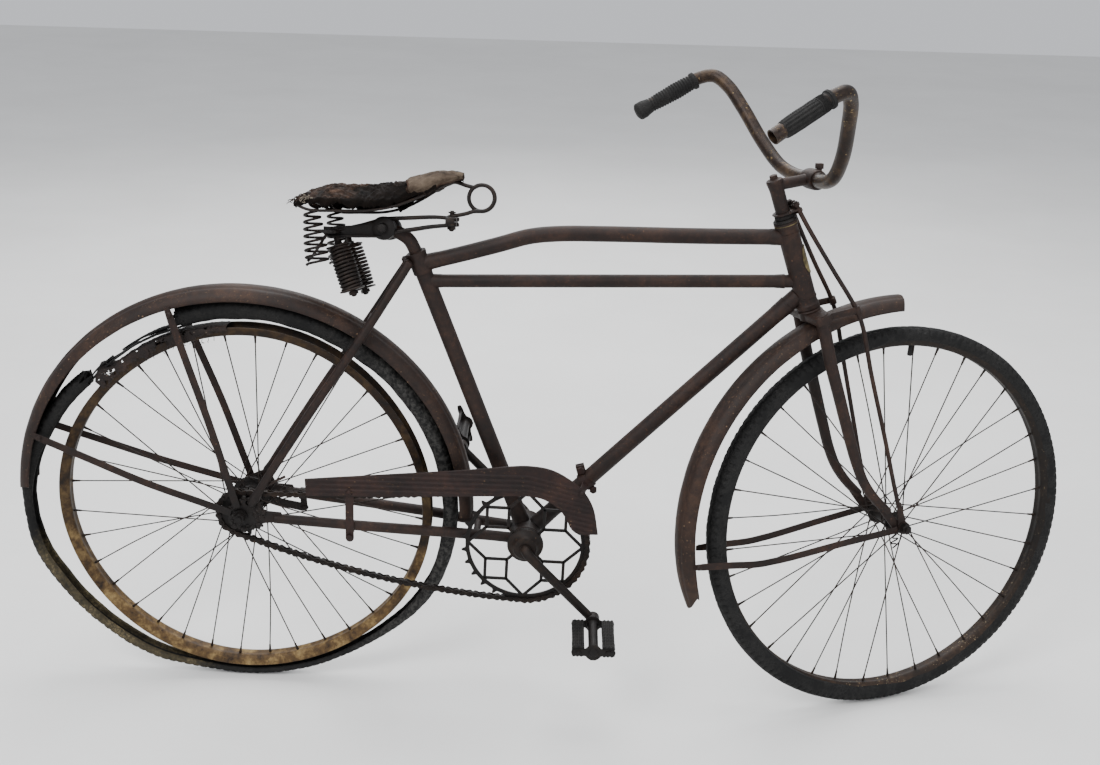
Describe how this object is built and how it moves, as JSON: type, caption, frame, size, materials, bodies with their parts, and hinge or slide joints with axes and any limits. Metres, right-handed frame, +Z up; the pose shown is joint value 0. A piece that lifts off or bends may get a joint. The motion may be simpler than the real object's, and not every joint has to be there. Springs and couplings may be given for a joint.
{
  "type": "bicycle",
  "caption": "Old rusty coaster-brake bicycle with full mudguards, sprung leather saddle, swept handlebar, chain guard and a torn loose rear tyre.",
  "frame": {"origin": "where the rider sits, on top of the saddle above its middle", "axes": "+X forward, +Y to the rider's left, +Z up"},
  "size_m": [1.8729, 0.541, 1.1516],
  "materials": {
    "frame_rust": "old oxblood paint, nearly all rusted, satin to matte",
    "guard_rust": "dark red-brown rusted sheet, satin",
    "rim_rust": "ochre rust over lost plating, matte",
    "bar_rust": "brown rust over worn plating, satin",
    "greasy_steel": "dark greasy steel",
    "spring_steel": "dark grey-brown rusted spring steel",
    "tyre_rubber": "perished cracked rubber",
    "grip_rubber": "old ribbed rubber",
    "saddle_leather": "dry wrinkled and torn leather"
  },
  "bodies": {
    "frame": {"head_tube": "frame_rust", "upper_bar": "frame_rust", "lower_bar": "frame_rust", "down_tube": "frame_rust", "seat_tube": "frame_rust", "bottom_bracket": "frame_rust", "chain_stay_right": "frame_rust", "chain_stay_left": "frame_rust", "seat_stay_right": "frame_rust", "seat_stay_left": "frame_rust", "rear_mudguard": "frame_rust", "rear_stay_upper_right": "frame_rust", "rear_stay_upper_left": "frame_rust", "rear_stay_lower_right": "frame_rust", "rear_stay_lower_left": "frame_rust", "chain_guard": "guard_rust", "chain": "greasy_steel", "seat_post": "bar_rust", "saddle_clamp": "greasy_steel", "saddle_wires": "spring_steel", "spring_carrier": "greasy_steel", "barrel_spring_right": "spring_steel", "barrel_spring_left": "spring_steel", "coil_spring_right": "spring_steel", "coil_spring_left": "spring_steel", "saddle_leather": "saddle_leather", "rear_axle": "greasy_steel", "brake_arm": "greasy_steel", "loose_tyre": "tyre_rubber"},
    "steering": {"fork_crown": "frame_rust", "fork_blade_right": "frame_rust", "fork_blade_left": "frame_rust", "front_axle": "greasy_steel", "headset_nut": "greasy_steel", "truss_bracket": "frame_rust", "truss_rod_right": "frame_rust", "truss_rod_left": "frame_rust", "handlebar": "bar_rust", "stem": "frame_rust", "grip_right": "grip_rubber", "grip_left": "grip_rubber", "front_mudguard": "frame_rust", "front_stay_right": "frame_rust", "front_stay_left": "frame_rust"},
    "front_wheel": {"front_rim": "rim_rust", "front_hub": "greasy_steel", "front_tyre": "tyre_rubber"},
    "rear_wheel": {"rear_rim": "rim_rust", "rear_hub": "greasy_steel"},
    "sprocket": {"rear_cog": "greasy_steel"},
    "crank": {"crank": "frame_rust", "chainring": "greasy_steel"},
    "pedal_right": {"pedal_cage_right": "greasy_steel", "pedal_rubber_front": "grip_rubber", "pedal_rubber_back": "grip_rubber"},
    "pedal_left": {"pedal_cage_left": "greasy_steel"}
  },
  "joints": [
    {"name": "steering_turn", "type": "hinge", "parent": "frame", "child": "steering", "pos_m": [0.6955, 0, -0.1152], "axis": [-0.3256, 0, 0.9455], "range_deg": [-69.6, 30.4]},
    {"name": "front_wheel_spin", "type": "hinge", "parent": "steering", "child": "front_wheel", "pos_m": [0.89773, 0.01388, -0.58278], "axis": [-0.3172, 0.9421, -0.1092], "continuous": true},
    {"name": "rear_wheel_spin", "type": "hinge", "parent": "frame", "child": "rear_wheel", "pos_m": [-0.24, 0, -0.582], "axis": [0, 1, 0], "continuous": true},
    {"name": "crank_spin", "type": "hinge", "parent": "frame", "child": "crank", "pos_m": [0.256, 0, -0.628], "axis": [0, 1, 0], "continuous": true},
    {"name": "sprocket_spin", "type": "hinge", "parent": "frame", "child": "sprocket", "pos_m": [-0.24, 0, -0.582], "axis": [0, 1, 0], "continuous": true},
    {"name": "pedal_right_spin", "type": "hinge", "parent": "crank", "child": "pedal_right", "pos_m": [0.37875, 0, -0.7569], "axis": [0, 1, 0], "continuous": true},
    {"name": "pedal_left_spin", "type": "hinge", "parent": "crank", "child": "pedal_left", "pos_m": [0.13325, 0, -0.4991], "axis": [0, 1, 0], "continuous": true}
  ],
  "couplings": [
    {"joint": "sprocket_spin", "follows": "crank_spin", "ratio": 2.7}
  ]
}
